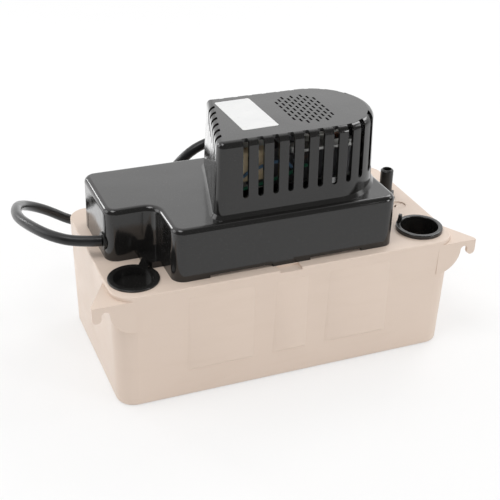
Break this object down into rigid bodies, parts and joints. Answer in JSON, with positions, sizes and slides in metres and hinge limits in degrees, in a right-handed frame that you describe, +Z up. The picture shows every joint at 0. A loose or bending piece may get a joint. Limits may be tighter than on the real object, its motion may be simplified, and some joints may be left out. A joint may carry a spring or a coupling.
{
  "type": "condensate pump",
  "caption": "Tank-type condensate pump with a push-fit lid, switch cover, vented motor housing, float switches, impeller column, check valve and mains cord.",
  "frame": {"origin": "middle of the tank's underside, on the surface it stands on", "axes": "+X along the tank towards the discharge end, -Y out of the front with the hanging ears, +Z up"},
  "size_m": [0.3057, 0.2533, 0.177],
  "materials": {
    "tank_abs": "warm beige moulded ABS, fine satin",
    "black_abs": "glossy black ABS",
    "black_nylon": "black glass-filled nylon",
    "grey_pp": "dark grey polypropylene, wet side",
    "laminations": "varnished silicon steel stack",
    "copper": "enamelled copper",
    "paper": "tan insulating paper tape",
    "white_nylon": "natural nylon",
    "zinc_steel": "zinc-plated steel",
    "steel_shaft": "ground steel",
    "bronze": "sintered bronze",
    "rotor_iron": "steel and cast aluminium rotor",
    "epdm": "soft black rubber",
    "vinyl_hose": "black vinyl hose",
    "nitrile": "nitrile ball",
    "switch_phenolic": "black phenolic",
    "float_foam": "closed-cell white float",
    "cord_pvc": "black flexible cord jacket",
    "wire_green": "green lead",
    "wire_blue": "light blue lead",
    "wire_brown": "brown lead",
    "plug_brass": "plug pins"
  },
  "bodies": {
    "pump_frame": {"tank": "tank_abs", "tank_lid": "tank_abs", "inlet_collar": "black_abs", "switch_cover": "black_abs", "motor_housing": "black_abs", "stator_laminations": "laminations", "coil_bobbin": "white_nylon", "coil_winding": "copper", "coil_wrap": "paper", "upper_bearing_bracket": "zinc_steel", "lower_bearing_bracket": "zinc_steel", "upper_bearing": "bronze", "lower_bearing": "bronze", "shading_rings": "copper", "motor_spacers": "zinc_steel", "motor_bolts": "zinc_steel", "pump_column": "grey_pp", "volute": "grey_pp", "volute_base_plate": "grey_pp", "volute_screws": "zinc_steel", "discharge_hose": "vinyl_hose", "check_valve_body": "black_nylon", "discharge_barb": "black_nylon", "switch_bracket": "zinc_steel", "run_switch": "switch_phenolic", "safety_switch": "switch_phenolic", "switch_screws": "zinc_steel", "float_pin": "zinc_steel", "cover_screws": "zinc_steel", "housing_screws": "zinc_steel", "lead_green": "wire_green", "lead_blue": "wire_blue", "lead_brown": "wire_brown", "cord_bushing": "black_nylon", "power_cord": "cord_pvc", "cord_coil": "cord_pvc", "plug_body": "cord_pvc", "plug_blades": "plug_brass", "plug_ground_pin": "plug_brass"},
    "rotating_group": {"rotor": "rotor_iron", "shaft": "steel_shaft", "cooling_fan": "white_nylon", "impeller": "black_nylon", "slinger_washer": "epdm"},
    "float_group": {"float_arm": "white_nylon", "float_body": "float_foam"},
    "run_lever": {"run_switch_lever": "zinc_steel"},
    "safety_lever": {"safety_switch_lever": "zinc_steel"},
    "valve_ball": {"check_ball": "nitrile"},
    "inlet_stopper": {"inlet_plug": "black_abs"}
  },
  "joints": [
    {"name": "motor_spin", "type": "hinge", "parent": "pump_frame", "child": "rotating_group", "pos_m": [0.028, -0.011, 0.14], "axis": [0, 0, 1], "continuous": true},
    {"name": "float_swing", "type": "hinge", "parent": "pump_frame", "child": "float_group", "pos_m": [-0.088, 0.012, 0.088], "axis": [0, -1, 0], "range_deg": [0, 27]},
    {"name": "run_lever_tilt", "type": "hinge", "parent": "pump_frame", "child": "run_lever", "pos_m": [-0.106, 0.0045, 0.0978], "axis": [0, -1, 0], "range_deg": [0, 8]},
    {"name": "safety_lever_tilt", "type": "hinge", "parent": "pump_frame", "child": "safety_lever", "pos_m": [-0.106, 0.0195, 0.0978], "axis": [0, -1, 0], "range_deg": [0, 2]},
    {"name": "check_ball_lift", "type": "slide", "parent": "pump_frame", "child": "valve_ball", "axis": [0, 0, 1], "range_m": [0, 0.004]},
    {"name": "inlet_plug_lift", "type": "slide", "parent": "pump_frame", "child": "inlet_stopper", "axis": [0, 0, 1], "range_m": [0, 0.02]}
  ],
  "couplings": [
    {"joint": "run_lever_tilt", "follows": "float_swing", "ratio": 0.27}
  ]
}
